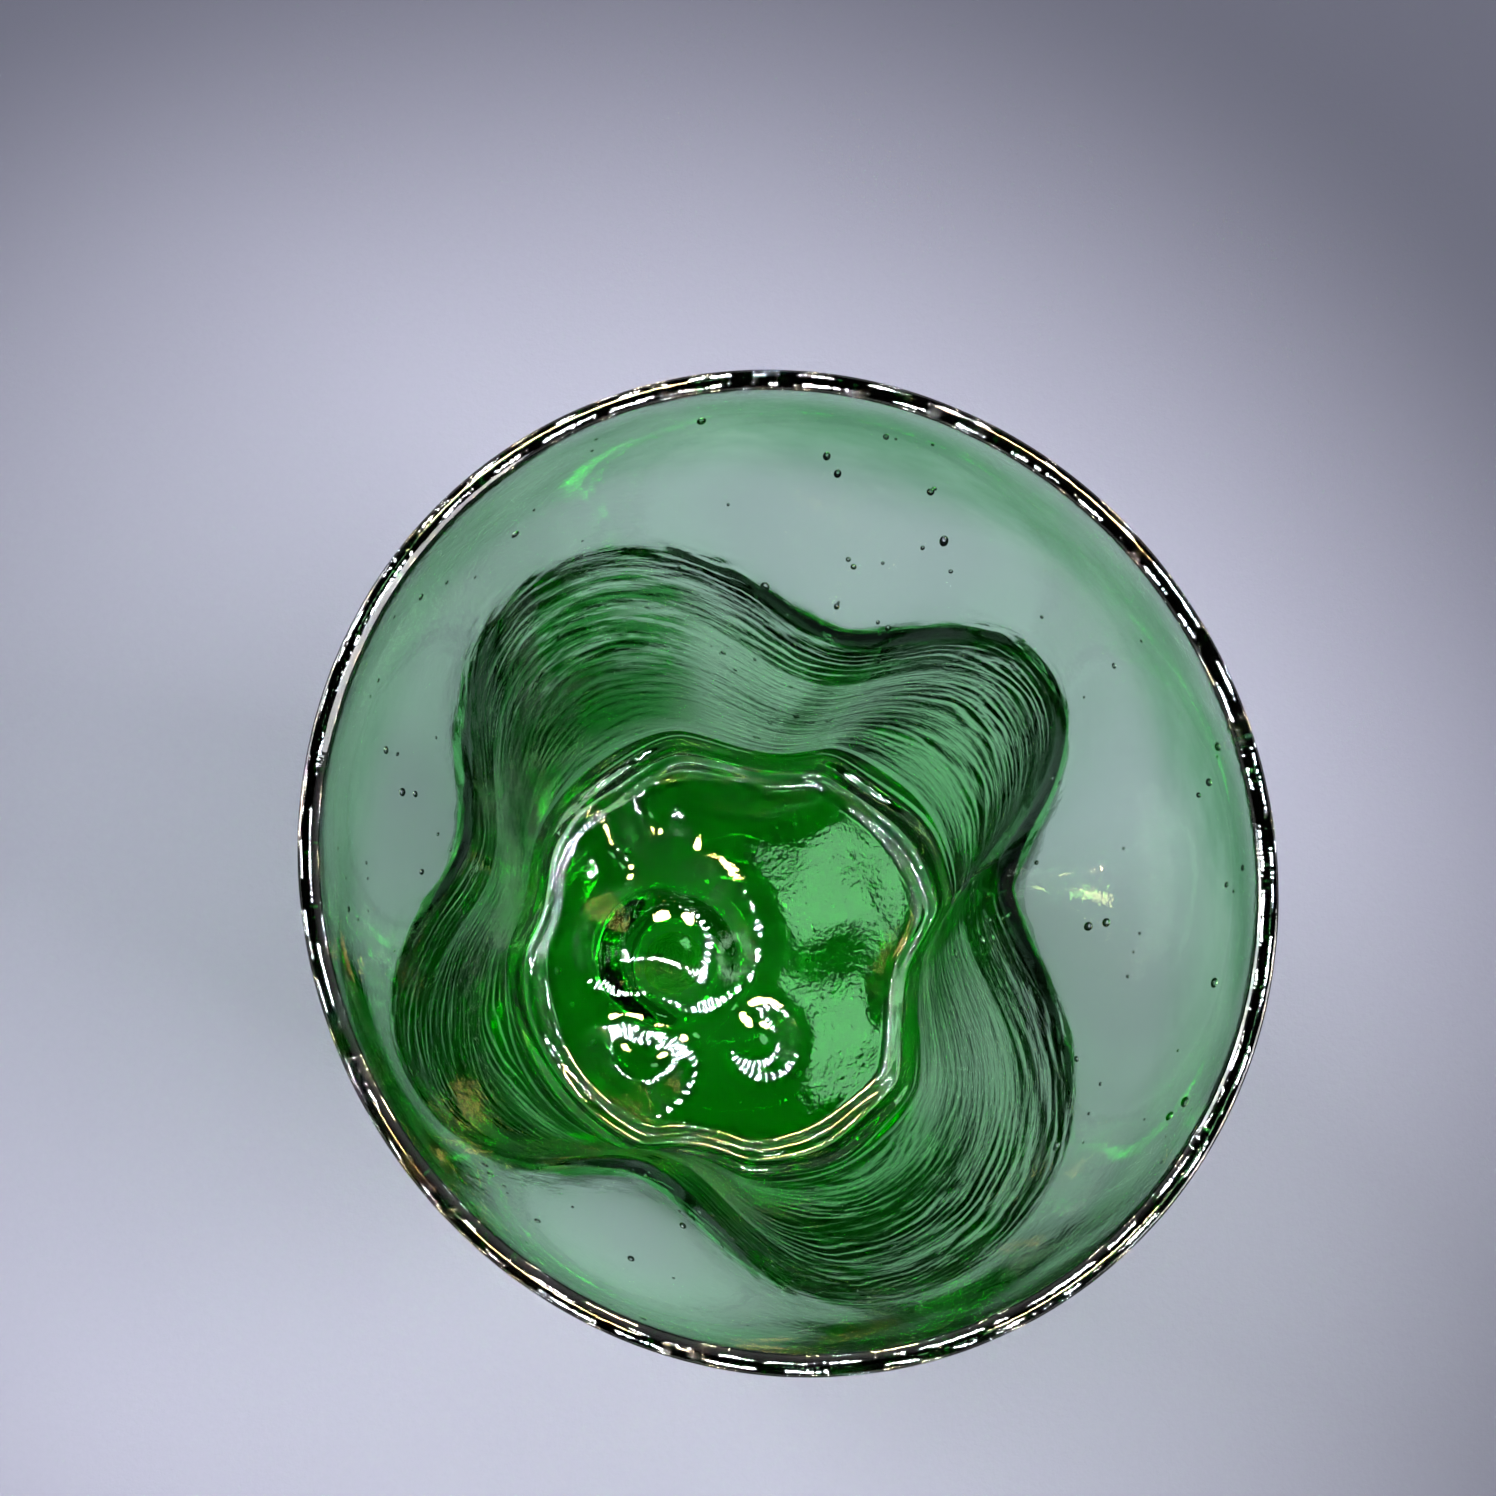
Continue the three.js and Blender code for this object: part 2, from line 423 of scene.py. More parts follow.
@dataclass
class BodyOutline:
    """The outline of the round body, from the axis under the base to the axis inside.

    Attributes:
        shape: The sizes of the tumbler.
        rows: How finely the outline is divided.
    """

    shape: TumblerShape
    rows: OutlineRows = field(default_factory=OutlineRows)

    @staticmethod
    def arc(centre: Span, radius: float, angles: Span, rows: int, face: Face) -> Outline:
        """Makes the points of an arc, without its first point.

        Args:
            centre: The arc's centre, as distance from the axis and height.
            radius: The arc's radius.
            angles: The first and the last angle, in degrees.
            rows: The number of points.
            face: The face that the arc belongs to.

        Returns:
            The points.
        """
        points = []
        for row in range(1, rows + 1):
            angle = math.radians(mix(*angles, row / rows))
            away, up = radius * math.cos(angle), radius * math.sin(angle)
            points.append((centre[0] + away, centre[1] + up, face))
        return points

    @staticmethod
    def side(radius_at: Callable[[float], float], heights: Span, rows: int, face: Face) -> Outline:
        """Makes the points of a wall, without its first point.

        Args:
            radius_at: Gives the distance from the axis at a height.
            heights: The first and the last height.
            rows: The number of points.
            face: The face that the wall belongs to.

        Returns:
            The points.
        """
        points = []
        for row in range(1, rows + 1):
            z = mix(*heights, row / rows)
            points.append((radius_at(z), z, face))
        return points

    @staticmethod
    def level(height: float, radii: Span, rows: int, face: Face) -> Outline:
        """Makes the points of a level stretch, without its first point.

        Args:
            height: Its height.
            radii: The first and the last distance from the axis.
            rows: The number of points.
            face: The face that it belongs to.

        Returns:
            The points.
        """
        return [(mix(*radii, row / rows), height, face) for row in range(1, rows + 1)]

    def points(self) -> Outline:
        """Returns the whole outline."""
        s, n = self.shape, self.rows
        lip = Lip().points(s.wall_at_rim, s.body.at(s.height), s.height)
        foot_r = s.body.at(s.foot_rounding) - s.foot_rounding
        inner_foot_z = s.floor_z + s.inner_rounding
        inner_foot_r = s.body.at(inner_foot_z) - s.wall(1.0, inner_foot_z) - s.inner_rounding
        ripple_top = ChillMarks().top + s.ripple_margin

        def inner(z: float) -> float:
            """Returns the inside radius of the round body at height z."""
            return s.body.at(z) - s.wall(1.0, z)

        out, ins = Face.OUTSIDE, Face.INSIDE
        return [
            (0.0, 0.0, out),
            *self.level(0.0, (0.0, s.ring_inner_radius), n.underside, out),
            *self.level(0.0, (s.ring_inner_radius, foot_r), n.foot_ring, out),
            *self.arc((foot_r, s.foot_rounding), s.foot_rounding, (-90, 0), n.foot, out),
            *self.side(s.body.at, (s.foot_rounding, ripple_top), n.outer_ripples, out),
            *self.side(s.body.at, (ripple_top, lip[0][1]), n.outer_upper, out)[:-1],
            *lip,
            *self.side(inner, (lip[-1][1], ripple_top), n.inner_upper, ins),
            *self.side(inner, (ripple_top, inner_foot_z), n.inner_ripples, ins),
            *self.arc((inner_foot_r, inner_foot_z), s.inner_rounding, (0, -90), n.inner_foot, ins),
            *self.level(s.floor_z, (inner_foot_r, 0.0), n.floor, ins),
        ]


@dataclass(frozen=True)
class ChillMarks:
    """The fine level ripples that a cold mould leaves in the lobes between the dimples.

    Attributes:
        bottom: The height where the marks fade out, above the floor.
        fold: The height of the fold, under which they also cross the dimples.
        top: The height where they begin, under the shoulder.
        spacing: The distance from one ripple to the next, up the wall.
        inside: The height of the ripples on the inside.
        outside: The height of the ripples on the outside.
        patch: The size of the patches in which the ripples come and go.
        fade_in: The height over which the marks set in at the bottom.
        fade_out: The height over which they fade at the top.
        crossing: How far under the fold they start and finish to spread over the dimples.
        wander: How far the ripples wander, in ripples, in the large and in the small patches.
        grit: The strength of the small marks between the ripples.
        outside_spacing: The spacing on the outside, as a share of that on the inside.
        strengths: The strength of the ripples in the weakest and in the strongest patches.
    """

    bottom: float = 20.0 * MM
    fold: float = 66.0 * MM
    top: float = 72.0 * MM
    spacing: float = 1.9 * MM
    inside: float = 0.06 * MM
    outside: float = 0.05 * MM
    patch: float = 9.0 * MM
    fade_in: float = 10.0 * MM
    fade_out: float = 4.0 * MM
    crossing: Span = (12.0 * MM, 6.0 * MM)
    wander: Span = (2.6, 0.9)
    grit: float = 0.8
    outside_spacing: float = 1.55
    strengths: Span = (0.2, 1.9)

    def height(self, place: Vector, lobe: float, face: Face) -> float:
        """Finds the ripple's height at a place on the wall.

        Args:
            place: The place, before the ripple moves it.
            lobe: 1 in a lobe, 0 in a dimple.
            face: The face of the glass.

        Returns:
            How far the surface moves outwards.
        """
        window = smooth(place.z, self.bottom, self.bottom + self.fade_in)
        window *= smooth(self.top - place.z, 0, self.fade_out)
        start, finish = self.crossing
        reach = max(smooth(lobe), smooth(place.z, self.fold - start, self.fold - finish))
        if window * reach <= 0.0:
            return 0.0
        shift = Vector((3.1, 1.7, 0.4)) if face is Face.INSIDE else Vector((7.9, 4.2, 2.6))
        coarse = place / (self.patch * 1.6) + shift
        fine = place / (self.patch * 0.55) + shift * 2
        bend = self.wander[0] * noise.noise(coarse) + self.wander[1] * noise.noise(fine)
        spacing = self.spacing * (1.0 if face is Face.INSIDE else self.outside_spacing)
        wave = math.sin(math.tau * (place.z / spacing + bend)) + self.grit * noise.noise(fine * 3.1)
        strength = mix(*self.strengths, smooth(noise.noise(coarse * 1.9 + shift), -0.3, 0.5))
        size = self.inside if face is Face.INSIDE else self.outside
        return size * wave * strength * window * reach


@dataclass(frozen=True)
class HandWork:
    """The long soft waves that hand-worked glass has all over.

    Attributes:
        wall: The height of the waves in the wall.
        floor: The height of the waves in the floor and under the base.
        rim: The height of the waves along the rim.
        folds: The height of the low folds where the floor bends up into the wall.
        length: The length of a wave.
        fold_length: The distance from one fold to the next.
        fold_strengths: The strength of the weakest and of the strongest folds.
        rim_calm: The height under the lip over which the waves of the wall fade.
        foot_calm: The heights between which they set in on the outside.
        in_dimples: Their share that is left in the dimples.
        floor_edge: The height over which the waves of the floor set in, down from the wall.
        rim_edge: The depths under the lip between which the waves along the rim set in.
        rim_waves: How many waves there are along a radius of the rim.
    """

    wall: float = 0.16 * MM
    floor: float = 0.13 * MM
    rim: float = 0.09 * MM
    folds: float = 0.18 * MM
    length: float = 17.0 * MM
    fold_length: float = 2.9 * MM
    fold_strengths: Span = (0.35, 1.65)
    rim_calm: float = 6.0 * MM
    foot_calm: Span = (1.0 * MM, 9.0 * MM)
    in_dimples: float = 0.35
    floor_edge: float = 5.0 * MM
    rim_edge: Span = (4.0 * MM, 1.0 * MM)
    rim_waves: float = 4.5

    def move(self, place: Vector, face: Face) -> float:
        """Finds how far the surface is off the smooth shape.

        Args:
            place: The place on the smooth shape.
            face: The face of the glass.

        Returns:
            A number, positive or negative, that the height of the waves multiplies.
        """
        shift = Vector((0.0, 9.0, 4.0)) if face is Face.INSIDE else Vector((5.0, 0.0, 8.0))
        long, short = place / self.length + shift, place / (self.length * 0.4) + shift
        return noise.noise(long) + 0.35 * noise.noise(short)

    def round_floor(self, turn: float, radius: float, place: Vector) -> float:
        """Finds the height of the folds where the floor bends up into the wall.

        Args:
            turn: How far the bend has turned up, in radians.
            radius: The radius of the bend.
            place: The place on the smooth shape.

        Returns:
            How far the surface moves into the glass.
        """
        window = smooth(turn, 0.0, 0.3) * (1.0 - smooth(turn, 1.0, 1.5))
        drift = 0.7 * noise.noise(place / (self.length * 0.8))
        patch = noise.noise(place / self.length + Vector((2.0, 3.0, 0.0)))
        strength = mix(*self.fold_strengths, smooth(patch, -0.3, 0.4))
        wave = math.sin(math.tau * (turn * radius / self.fold_length + drift))
        return self.folds * window * strength * wave

    def along_rim(self, direction: float) -> float:
        """Returns how far the rim is off its level in a direction."""
        place = Vector((math.cos(direction), math.sin(direction), 0.0)) * self.rim_waves
        return self.rim * (noise.noise(place) + 0.4 * noise.noise(place * 2.6))


@dataclass(frozen=True)
class Seeds:
    """The gas bubbles in the glass, which glass makers call seeds.

    Attributes:
        in_wall: How many are scattered through the wall.
        in_dimples: How many gather in the faces of the dimples.
        in_base: How many are in the base.
        smallest: The radius of the smallest.
        largest: The radius of the largest.
        rarity: How much rarer the large ones are than the small ones.
        drawn: The least and the most that they are drawn out along the wall.
        lean: The most that they lean, in radians.
        base_radius: The radius in which those in the base lie.
        order: The number that the random places start from.
    """

    in_wall: int = 150
    in_dimples: int = 110
    in_base: int = 40
    smallest: float = 0.15 * MM
    largest: float = 0.55 * MM
    rarity: float = 2.6
    drawn: Span = (1.0, 1.7)
    lean: float = 0.5
    base_radius: float = 22.0 * MM
    order: int = 11

    def wall_place(self, shape: TumblerShape, rng: random.Random, near_dimple: bool) -> Vector:
        """Chooses a place in the middle of the wall.

        Args:
            shape: The sizes of the tumbler.
            rng: The source of random numbers.
            near_dimple: Whether the place is on the upright face of a dimple.

        Returns:
            The place.
        """
        if near_dimple:
            dimple = rng.choice(shape.dimples)
            direction = math.radians(mix(dimple.foot, dimple.shoulder, 0.7) + rng.gauss(0, 9))
            z = rng.uniform(26, 62) * MM
        else:
            direction = rng.uniform(0, math.tau)
            z = rng.uniform(62, 90) * MM
        outer, inner = shape.outer_radius(direction, z), shape.inner_radius(direction, z)
        r = mix(inner, outer, rng.uniform(0.4, 0.6))
        return Vector((r * math.cos(direction), r * math.sin(direction), z))

    def base_place(self, shape: TumblerShape, rng: random.Random) -> Vector:
        """Chooses a place in the thick base.

        Args:
            shape: The sizes of the tumbler.
            rng: The source of random numbers.

        Returns:
            The place.
        """
        r = self.base_radius * math.sqrt(rng.random())
        direction = rng.uniform(0, math.tau)
        z = rng.uniform(shape.hollow + shape.kick_up + 1.0 * MM, shape.floor_z - 4.0 * MM)
        return Vector((r * math.cos(direction), r * math.sin(direction), z))

    def blow(self, bm: bmesh.types.BMesh, shape: TumblerShape) -> int:
        """Adds the bubbles as hollows, with their faces turned into the gas.

        Args:
            bm: The mesh of the glass.
            shape: The sizes of the tumbler.

        Returns:
            The number of bubbles.
        """
        rng = random.Random(self.order)
        gas = bmesh.new()
        places = [self.wall_place(shape, rng, False) for _ in range(self.in_wall)]
        places += [self.wall_place(shape, rng, True) for _ in range(self.in_dimples)]
        places += [self.base_place(shape, rng) for _ in range(self.in_base)]
        for place in places:
            radius = mix(self.smallest, self.largest, rng.random() ** self.rarity)
            drawn = Matrix.Diagonal((1.0, 1.0, rng.uniform(*self.drawn), 1.0))
            lean = Matrix.Rotation(rng.uniform(-self.lean, self.lean), 4, "X")
            bmesh.ops.create_icosphere(
                gas, subdivisions=2, radius=radius, matrix=Matrix.Translation(place) @ lean @ drawn)
        bmesh.ops.reverse_faces(gas, faces=gas.faces[:])
        hollows = bpy.data.meshes.new("seeds")
        gas.to_mesh(hollows)
        gas.free()
        bm.from_mesh(hollows)
        bpy.data.meshes.remove(hollows)
        return len(places)


@dataclass
class GlassBody:
    """The tumbler itself, one unbroken piece of glass.

    Attributes:
        shape: Its sizes.
        around: The number of steps round the axis.
        chill: The ripples in the lobes.
        hand_work: The soft waves all over.
        seeds: The gas bubbles.
    """

    shape: TumblerShape = field(default_factory=TumblerShape)
    around: int = 288
    chill: ChillMarks = field(default_factory=ChillMarks)
    hand_work: HandWork = field(default_factory=HandWork)
    seeds: Seeds = field(default_factory=Seeds)

    def spin(self, outline: Outline) -> tuple[bmesh.types.BMesh, bmesh.types.BMLayerItem]:
        """Spins the outline round the axis.

        Args:
            outline: The round body's outline.

        Returns:
            The mesh, and the layer that says which points are inside.
        """
        bm = bmesh.new()
        inside = bm.verts.layers.int.new("inside")
        chain = [bm.verts.new((r, 0.0, z)) for r, z, _ in outline]
        for vert, (_, _, face) in zip(chain, outline):
            vert[inside] = int(face is Face.INSIDE)
        edges = [bm.edges.new(pair) for pair in zip(chain, chain[1:])]
        bmesh.ops.spin(bm, geom=[*chain, *edges], cent=(0, 0, 0), axis=(0, 0, 1), dvec=(0, 0, 0),
                       angle=math.tau, steps=self.around, use_merge=True, use_duplicate=False)
        bmesh.ops.remove_doubles(bm, verts=bm.verts[:], dist=0.001 * MM)
        bmesh.ops.recalc_face_normals(bm, faces=bm.faces[:])
        # The spin makes its faces in another order each run, so they are put in the order of their points.
        bm.verts.index_update()
        ordered = sorted(bm.faces, key=lambda face: sorted(vert.index for vert in face.verts))
        ranks = {face: rank for rank, face in enumerate(ordered)}
        bm.faces.sort(key=ranks.get)
        return bm, inside

    def pressed(self, place: Vector, face: Face) -> Vector:
        """Moves a point of the round body to where the worked glass has it.

        Args:
            place: The point on the round body.
            face: The face that it is on.

        Returns:
            The point on the finished glass.
        """
        s = self.shape
        r = math.hypot(place.x, place.y)
        direction = math.atan2(place.y, place.x)
        if face is Face.INSIDE:
            scale = s.inner_radius(direction, place.z) / (s.body.at(place.z) - s.wall(1.0, place.z))
        else:
            scale = s.outer_radius(direction, place.z) / s.body.at(place.z)
        reach = smooth(r, s.ring_inner_radius / 2, s.ring_inner_radius * 1.2)
        scale = mix(1.0, scale, reach)
        moved = Vector((place.x * scale, place.y * scale, place.z))
        if face is Face.INSIDE and place.z < s.floor_z + s.inner_rounding:
            near = smooth(s.floor_z + s.inner_rounding - place.z, 0, s.inner_rounding)
            moved.z += s.floor_lift(moved.x, moved.y) * near
        elif face is Face.OUTSIDE and r < s.ring_inner_radius and place.z < 1 * MM:
            moved.z = s.underside_z(moved.x, moved.y)
        return self.worked(moved, place.z, direction, reach, face)

    def worked(self, place: Vector, level: float, direction: float, reach: float, face: Face) -> Vector:
        """Adds the chill marks and the waves of hand work.

        Args:
            place: The point on the smooth glass.
            level: Its height before the bumps raised it.
            direction: Its direction from the axis, in radians.
            reach: 1 on the wall, 0 near the axis.
            face: The face that it is on.

        Returns:
            The point with the fine relief.
        """
        s, work = self.shape, self.hand_work
        wave = work.move(place, face)
        lobe = s.lobe(direction, place.z)
        calm = smooth(place.z, s.height, s.height - work.rim_calm) if place.z > s.height / 2 else 1.0
        calm *= smooth(place.z, *work.foot_calm) if face is Face.OUTSIDE else 1.0
        calm *= mix(work.in_dimples, 1.0, smooth(lobe))
        ripple = self.chill.height(place, lobe, face)
        out = (work.wall * wave * calm + ripple) * reach
        lift = 0.0
        if face is Face.INSIDE and place.z < s.floor_z + s.inner_rounding:
            below = s.floor_z + s.inner_rounding - place.z
            lift = work.floor * wave * smooth(below, 0, work.floor_edge)
            turn = math.acos(min(max(1.0 - (level - s.floor_z) / s.inner_rounding, 0.0), 1.0))
            fold = work.round_floor(turn, s.inner_rounding, place)
            lift -= fold * math.cos(turn)
            out += fold * math.sin(turn)
        elif place.z > s.height - work.rim_edge[0]:
            edge = [s.height - depth for depth in work.rim_edge]
            lift = work.along_rim(direction) * smooth(place.z, *edge)
        return place + Vector((math.cos(direction) * out, math.sin(direction) * out, lift))

    def build(self) -> bpy.types.Object:
        """Makes the glass.

        Returns:
            The finished object, at the origin.
        """
        bm, inside = self.spin(BodyOutline(self.shape).points())
        for vert in bm.verts:
            vert.co = self.pressed(vert.co, Face.INSIDE if vert[inside] else Face.OUTSIDE)
        count = self.seeds.blow(bm, self.shape)
        for face in bm.faces:
            face.smooth = True
        mesh = bpy.data.meshes.new("glass_tumbler")
        bm.to_mesh(mesh)
        bm.free()
        body = bpy.data.objects.new("glass_tumbler", mesh)
        bpy.context.scene.collection.objects.link(body)
        LOG.info("glass_tumbler: %d faces, %d bubbles", len(mesh.polygons), count)
        return body


# Shader maths


Value = "float | Socket"


class Socket:
    """A node's output, on which arithmetic adds Math nodes."""

    def __init__(self, graph: "ShaderGraph", output: bpy.types.NodeSocket) -> None:
        """Wraps an output.

        Args:
            graph: The graph that the node is in.
            output: The output.
        """
        self.graph = graph
        self.output = output

    def _maths(self, operation: str, first: Value, second: Value) -> "Socket":
        """Adds a Math node.

        Args:
            operation: The node's operation.
            first: The first number or output.
            second: The second number or output.

        Returns:
            The result.
        """
        return self.graph.node("ShaderNodeMath", {"operation": operation}, {0: first, 1: second})

    def __add__(self, other: Value) -> "Socket":
        """Adds."""
        return self._maths("ADD", self, other)

    __radd__ = __add__

    def __sub__(self, other: Value) -> "Socket":
        """Subtracts."""
        return self._maths("SUBTRACT", self, other)

    def __rsub__(self, other: Value) -> "Socket":
        """Subtracts from a number."""
        return self._maths("SUBTRACT", other, self)

    def __mul__(self, other: Value) -> "Socket":
        """Multiplies."""
        return self._maths("MULTIPLY", self, other)

    __rmul__ = __mul__

    def above(self, limit: float) -> "Socket":
        """Returns 1 where the value is over the limit, and 0 elsewhere."""
        return self._maths("GREATER_THAN", self, limit)

    def eased(self, low: float, high: float) -> "Socket":
        """Eases from 0 where the value is low to 1 where it is high.

        Args:
            low: Where the result starts to rise.
            high: Where the result reaches 1.

        Returns:
            The result.
        """
        return self.graph.node("ShaderNodeMapRange", {"interpolation_type": "SMOOTHSTEP"}, {
            "Value": self, "From Min": low, "From Max": high})

    def within(self, start: Span, end: Span) -> "Socket":
        """Eases from 0 to 1 over the first span, and back to 0 over the second.

        Args:
            start: Where the result starts to rise, and where it reaches 1.
            end: Where the result starts to fall, and where it reaches 0.

        Returns:
            The result.
        """
        return self.eased(*start) * (1.0 - self.eased(*end))


class ShaderGraph:
    """The nodes of one material or world."""

    def __init__(self, owner: bpy.types.Material | bpy.types.World) -> None:
        """Starts an empty graph.

        Args:
            owner: The material or world.
        """
        owner.use_nodes = True
        self.tree = owner.node_tree
        self.tree.nodes.clear()

    def node(self, kind: str, settings: dict[str, object] | None = None,
             inputs: dict[str | int, object] | None = None, output: str | int = 0) -> Socket:
        """Adds a node.

        Args:
            kind: The node's type.
            settings: Its own settings, set first. A ramp's stops are under "stops".
            inputs: Values and outputs for its sockets, by name or number.
            output: The output to return.

        Returns:
            That output, or an empty socket where the node has none.
        """
        node = self.tree.nodes.new(kind)
        for name, value in (settings or {}).items():
            if name == "stops":
                self._stops(node, value)
            else:
                setattr(node, name, value)
        for key, value in (inputs or {}).items():
            if isinstance(value, Socket):
                self.tree.links.new(value.output, node.inputs[key])
            else:
                node.inputs[key].default_value = value
        return Socket(self, node.outputs[output]) if node.outputs else Socket(self, None)

    @staticmethod
    def _stops(node: bpy.types.Node, stops: Iterable[Span]) -> None:
        """Sets a colour ramp's stops.

        Args:
            node: The ramp.
            stops: Pairs of place and grey level.
        """
        ramp = node.color_ramp
        for index, (place, level) in enumerate(stops):
            stop = ramp.elements[index] if index < 2 else ramp.elements.new(place)
            stop.position = place
            stop.color = (level, level, level, 1.0)

    def place(self) -> Socket:
        """Returns the object's own coordinates."""
        return self.node("ShaderNodeTexCoord", output="Object")

    def height(self, place: Socket) -> Socket:
        """Returns the height of the coordinates."""
        return self.node("ShaderNodeSeparateXYZ", {}, {"Vector": place}, "Z")

    def vector(self, operation: str, first: Socket, second: Place | None = None,
               output: str = "Vector") -> Socket:
        """Adds a Vector Math node.

        Args:
            operation: The node's operation.
            first: The coordinates.
            second: What they are added to, multiplied by or compared with.
            output: The output to return.

        Returns:
            The result.
        """
        inputs = {0: first} if second is None else {0: first, 1: second}
        return self.node("ShaderNodeVectorMath", {"operation": operation}, inputs, output)

    def away_from(self, place: Socket, centre: Span = (0.0, 0.0)) -> Socket:
        """Measures the level distance from an upright line.

        Args:
            place: The coordinates.
            centre: Where the line stands.

        Returns:
            The distance, in metres.
        """
        off = self.vector("SUBTRACT", place, (*centre, 0.0))
        return self.vector("LENGTH", self.vector("MULTIPLY", off, (1, 1, 0)), output="Value")

    def stretched(self, place: Socket, scale: Place, shift: Place = (0, 0, 0)) -> Socket:
        """Scales and moves coordinates.

        Args:
            place: The coordinates.
            scale: The scale on each axis.
            shift: The move on each axis, after the scale.

        Returns:
            The new coordinates.
        """
        return self.node("ShaderNodeMapping", {}, {"Vector": place, "Scale": scale, "Location": shift})

    def speckle(self, place: Socket, size: float, detail: float = 3.0, rough: float = 0.5) -> Socket:
        """Adds a noise.

        Args:
            place: The coordinates.
            size: The size of its patches, in metres.
            detail: How many finer layers it has.
            rough: How strong the finer layers are.

        Returns:
            Its grey level, from 0 to 1.
        """
        return self.node("ShaderNodeTexNoise", {}, {
            "Vector": place, "Scale": 1.0 / size, "Detail": detail, "Roughness": rough}, "Fac")

    def blend(self, share: Value, first: Colour | Socket, second: Colour | Socket) -> Socket:
        """Mixes two colours.

        Args:
            share: How much of the second colour shows.
            first: The first colour.
            second: The second colour.

        Returns:
            The mixed colour.
        """
        return self.node("ShaderNodeMix", {"data_type": "RGBA"}, {0: share, 6: first, 7: second}, 2)

    def bump(self, height: Socket, depth: float, strength: float = 1.0,
             under: Socket | None = None) -> Socket:
        """Adds a Bump node.

        Args:
            height: The height, from 0 to 1.
            depth: The depth of a full step, in metres.
            strength: How much of the bump is used.
            under: The normal that the bump is laid on.

        Returns:
            The new normal.
        """
        inputs = {"Height": height, "Distance": depth, "Strength": strength}
        if under is not None:
            inputs["Normal"] = under
        return self.node("ShaderNodeBump", {}, inputs)


# Finishes


@dataclass(frozen=True)
class Relief:
    """A fine relief in a surface.

    Attributes:
        size: The size of its patches.
        depth: Its depth.
        detail: How many finer layers it has.
        rough: How strong the finer layers are.
        scale: How much it is squeezed on each axis.
        shift: How far it is moved on each axis.
    """

    size: float
    depth: float
    detail: float
    rough: float
    scale: Place = (1, 1, 1)
    shift: Place = (0, 0, 0)

    def over(self, g: ShaderGraph, place: Socket) -> Socket:
        """Returns the height of the relief, from 0 to 1."""
        return g.speckle(g.stretched(place, self.scale, self.shift), self.size, self.detail, self.rough)


@dataclass(frozen=True)
class GlassZones:
    """Where on the tumbler the tints, the painted shade and the drawn cords begin and end, each over a span.

    Attributes:
        worked: The heights over which the drawn cords set in.
        calm: The heights over which they fade again.
        calm_share: How much of them fades.
        lobe_lean: How much further out a lobe starts for each metre of height.
        lobe_edge: The distances from the axis over which a lobe starts, at the table.
        lobe_foot: The heights over which the painted shade of the lobes sets in.
        lobe_top: The heights over which it fades again.
        streaks: The heights over which the painted shade of the lobes breaks into pale streaks.
        streak_drift: How far the streaks wander up and down.
        darkest_lobe_way: The direction of the lobe with the darkest painted shade.
        darkest_lobe_edge: The distances that way over which the darkest painted shade starts.
        band_foot: The heights over which the painted shade under the rim sets in.
        band_top: The heights over which it fades again.
        upper_wall: The heights over which the even tint turns to that of the upper wall.
    """

    worked: Span = (14 * MM, 24 * MM)
    calm: Span = (62 * MM, 72 * MM)
    calm_share: float = 0.93
    lobe_lean: float = 0.19
    lobe_edge: Span = (23 * MM, 26 * MM)
    lobe_foot: Span = (16 * MM, 24 * MM)
    lobe_top: Span = (60 * MM, 68 * MM)
    streaks: Span = (42 * MM, 66 * MM)
    streak_drift: float = 30 * MM
    darkest_lobe_way: Place = (-0.7, 0.7, 0.0)
    darkest_lobe_edge: Span = (14 * MM, 30 * MM)
    band_foot: Span = (77 * MM, 86 * MM)
    band_top: Span = (90 * MM, 94 * MM)
    upper_wall: Span = (52 * MM, 68 * MM)


